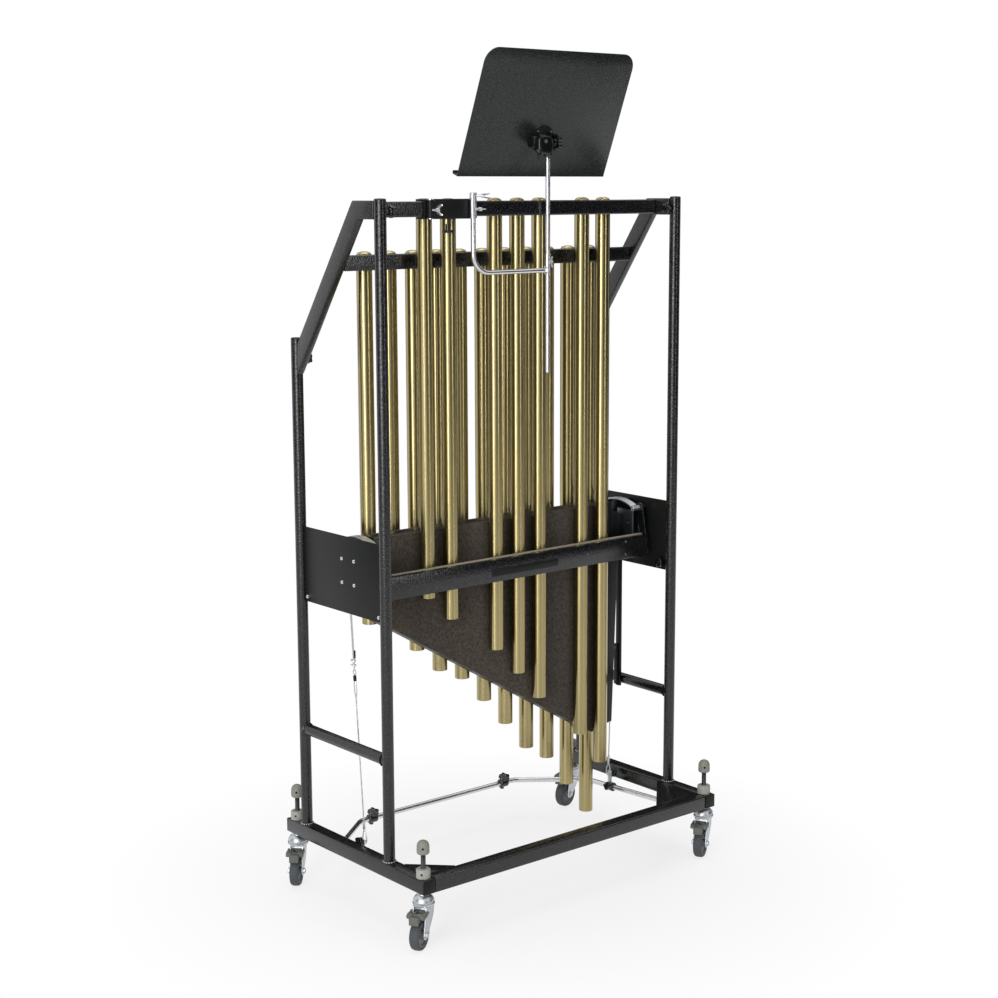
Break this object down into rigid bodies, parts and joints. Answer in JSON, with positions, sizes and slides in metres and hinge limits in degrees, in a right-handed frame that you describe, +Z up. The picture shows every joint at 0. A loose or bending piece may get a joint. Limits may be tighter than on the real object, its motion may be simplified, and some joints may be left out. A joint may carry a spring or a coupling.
{
  "type": "tubular bells",
  "caption": "Concert chimes: two rows of hanging brass tubes on a rolling frame, with felt dampers worked by a foot bar through cables, and a music desk on a swinging arm.",
  "frame": {"origin": "on the floor, below the centre of the whole object's box", "axes": "+Z up; +Y towards the player, whose side is open at the base; +X towards the longest tubes, at the player's left"},
  "size_m": [1.024, 0.6016, 2.0727],
  "materials": {
    "frame_paint": "black hammered enamel",
    "tube_brass": "satin lacquered",
    "damper_felt": "brown-grey felt",
    "zinc_plate": "bright zinc plate",
    "chrome_rod": "polished chrome",
    "wheel_rubber": "grey moulded rubber",
    "grey_plastic": "warm grey, matte",
    "desk_paint": "dark green-black hammered enamel"
  },
  "bodies": {
    "frame": {"side_frame_left": "frame_paint", "side_frame_right": "frame_paint", "front_rail": "frame_paint", "side_plate_left": "frame_paint", "side_plate_right": "frame_paint", "slope_arm_left": "frame_paint", "slope_arm_right": "frame_paint", "upper_beam": "frame_paint", "lower_beam": "frame_paint", "damper_board": "damper_felt", "damper_yoke_left": "zinc_plate", "damper_yoke_right": "zinc_plate", "desk_saddle": "frame_paint", "tube_c5": "tube_brass", "tube_d5": "tube_brass", "tube_e5": "tube_brass", "tube_f5": "tube_brass", "tube_g5": "tube_brass", "tube_a5": "tube_brass", "tube_b5": "tube_brass", "tube_c6": "tube_brass", "tube_d6": "tube_brass", "tube_e6": "tube_brass", "tube_f6": "tube_brass", "tube_c_sharp5": "tube_brass", "tube_d_sharp5": "tube_brass", "tube_f_sharp5": "tube_brass", "tube_g_sharp5": "tube_brass", "tube_a_sharp5": "tube_brass", "tube_c_sharp6": "tube_brass", "tube_d_sharp6": "tube_brass"},
    "pedal": {"pedal": "chrome_rod"},
    "cables": {"pedal_cable_left": "zinc_plate", "pedal_cable_right": "zinc_plate"},
    "rockers": {"rocker_left": "zinc_plate", "rocker_right": "zinc_plate"},
    "front_damper": {"damper_bar_front": "frame_paint", "damper_felt_front": "damper_felt"},
    "rear_damper": {"damper_bar_rear": "frame_paint", "damper_felt_rear": "damper_felt"},
    "desk_arm": {"desk_arm": "chrome_rod"},
    "desk_mast": {"desk_mast": "chrome_rod"},
    "desk_head": {"desk_head": "frame_paint"},
    "music_desk": {"music_desk": "desk_paint"},
    "spindle_front_left": {"spindle_front_left": "grey_plastic"},
    "fork_front_left": {"caster_fork_front_left": "zinc_plate"},
    "wheel_front_left": {"caster_wheel_front_left": "wheel_rubber"},
    "brake_front_left": {"caster_brake_front_left": "grey_plastic"},
    "spindle_front_right": {"spindle_front_right": "grey_plastic"},
    "fork_front_right": {"caster_fork_front_right": "zinc_plate"},
    "wheel_front_right": {"caster_wheel_front_right": "wheel_rubber"},
    "brake_front_right": {"caster_brake_front_right": "grey_plastic"},
    "spindle_rear_left": {"spindle_rear_left": "grey_plastic"},
    "fork_rear_left": {"caster_fork_rear_left": "zinc_plate"},
    "wheel_rear_left": {"caster_wheel_rear_left": "wheel_rubber"},
    "brake_rear_left": {"caster_brake_rear_left": "grey_plastic"},
    "spindle_rear_right": {"spindle_rear_right": "grey_plastic"},
    "fork_rear_right": {"caster_fork_rear_right": "zinc_plate"},
    "wheel_rear_right": {"caster_wheel_rear_right": "wheel_rubber"},
    "brake_rear_right": {"caster_brake_rear_right": "grey_plastic"}
  },
  "joints": [
    {"name": "level_front_left", "type": "slide", "parent": "frame", "child": "spindle_front_left", "axis": [0, 0, 1], "range_m": [-0.03, 0]},
    {"name": "swivel_front_left", "type": "hinge", "parent": "spindle_front_left", "child": "fork_front_left", "pos_m": [-0.44981, -0.2551, 0.1048], "axis": [0, 0, 1], "continuous": true},
    {"name": "roll_front_left", "type": "hinge", "parent": "fork_front_left", "child": "wheel_front_left", "pos_m": [-0.47405, -0.2691, 0.0375], "axis": [0.5, -0.866, 0], "continuous": true},
    {"name": "brake_front_left", "type": "hinge", "parent": "fork_front_left", "child": "brake_front_left", "pos_m": [-0.4602, -0.2611, 0.086], "axis": [-0.5, 0.866, 0], "range_deg": [0, 18]},
    {"name": "level_front_right", "type": "slide", "parent": "frame", "child": "spindle_front_right", "axis": [0, 0, 1], "range_m": [-0.03, 0]},
    {"name": "swivel_front_right", "type": "hinge", "parent": "spindle_front_right", "child": "fork_front_right", "pos_m": [0.48419, -0.2551, 0.1048], "axis": [0, 0, 1], "continuous": true},
    {"name": "roll_front_right", "type": "hinge", "parent": "fork_front_right", "child": "wheel_front_right", "pos_m": [0.45995, -0.2691, 0.0375], "axis": [0.5, -0.866, 0], "continuous": true},
    {"name": "brake_front_right", "type": "hinge", "parent": "fork_front_right", "child": "brake_front_right", "pos_m": [0.4738, -0.2611, 0.086], "axis": [-0.5, 0.866, 0], "range_deg": [0, 18]},
    {"name": "level_rear_left", "type": "slide", "parent": "frame", "child": "spindle_rear_left", "axis": [0, 0, 1], "range_m": [-0.03, 0]},
    {"name": "swivel_rear_left", "type": "hinge", "parent": "spindle_rear_left", "child": "fork_rear_left", "pos_m": [-0.44981, 0.2729, 0.1048], "axis": [0, 0, 1], "continuous": true},
    {"name": "roll_rear_left", "type": "hinge", "parent": "fork_rear_left", "child": "wheel_rear_left", "pos_m": [-0.4696, 0.2531, 0.0375], "axis": [0.7071, -0.7071, 0], "continuous": true},
    {"name": "brake_rear_left", "type": "hinge", "parent": "fork_rear_left", "child": "brake_rear_left", "pos_m": [-0.45829, 0.26441, 0.086], "axis": [-0.7071, 0.7071, 0], "range_deg": [0, 18]},
    {"name": "level_rear_right", "type": "slide", "parent": "frame", "child": "spindle_rear_right", "axis": [0, 0, 1], "range_m": [-0.03, 0]},
    {"name": "swivel_rear_right", "type": "hinge", "parent": "spindle_rear_right", "child": "fork_rear_right", "pos_m": [0.48419, 0.2729, 0.1048], "axis": [0, 0, 1], "continuous": true},
    {"name": "roll_rear_right", "type": "hinge", "parent": "fork_rear_right", "child": "wheel_rear_right", "pos_m": [0.45715, 0.26565, 0.0375], "axis": [0.2588, -0.9659, 0], "continuous": true},
    {"name": "brake_rear_right", "type": "hinge", "parent": "fork_rear_right", "child": "brake_rear_right", "pos_m": [0.4726, 0.26979, 0.086], "axis": [-0.2588, 0.9659, 0], "range_deg": [0, 18]},
    {"name": "pedal_press", "type": "hinge", "parent": "frame", "child": "pedal", "pos_m": [0.01719, -0.1821, 0.126], "axis": [-1, 0, 0], "range_deg": [0, 7.5], "stiffness_Nm_per_rad": 24, "springref_deg": -34.38},
    {"name": "cable_pull", "type": "slide", "parent": "frame", "child": "cables", "axis": [0, 0, -1], "range_m": [0, 0.0313]},
    {"name": "rocker_turn", "type": "hinge", "parent": "frame", "child": "rockers", "pos_m": [0.01719, 0.0269, 0.848], "axis": [-1, 0, 0], "range_deg": [0, 43.6]},
    {"name": "front_damper_swing", "type": "hinge", "parent": "frame", "child": "front_damper", "pos_m": [0.01719, -0.0271, 0.908], "axis": [-1, 0, 0], "range_deg": [0, 8.3]},
    {"name": "rear_damper_swing", "type": "hinge", "parent": "frame", "child": "rear_damper", "pos_m": [0.01719, 0.1049, 0.908], "axis": [1, 0, 0], "range_deg": [0, 8.3]},
    {"name": "desk_arm_swing", "type": "hinge", "parent": "frame", "child": "desk_arm", "pos_m": [-0.1418, -0.0727, 1.739], "axis": [0, 0, 1], "range_deg": [-150, 0]},
    {"name": "mast_height", "type": "slide", "parent": "desk_arm", "child": "desk_mast", "axis": [0, 0, 1], "range_m": [-0.025, 0.22]},
    {"name": "desk_turn", "type": "hinge", "parent": "desk_mast", "child": "desk_head", "pos_m": [0.0932, -0.0727, 1.825], "axis": [0, 0, 1], "continuous": true},
    {"name": "desk_tilt", "type": "hinge", "parent": "desk_head", "child": "music_desk", "pos_m": [0.0932, -0.0727, 1.859], "axis": [1, 0, 0], "range_deg": [-20, 66]}
  ],
  "couplings": [
    {"joint": "cable_pull", "follows": "pedal_press", "m_per_rad": 0.238},
    {"joint": "rocker_turn", "follows": "pedal_press", "ratio": 5.8},
    {"joint": "front_damper_swing", "follows": "pedal_press", "ratio": 1.1},
    {"joint": "rear_damper_swing", "follows": "pedal_press", "ratio": 1.1}
  ]
}
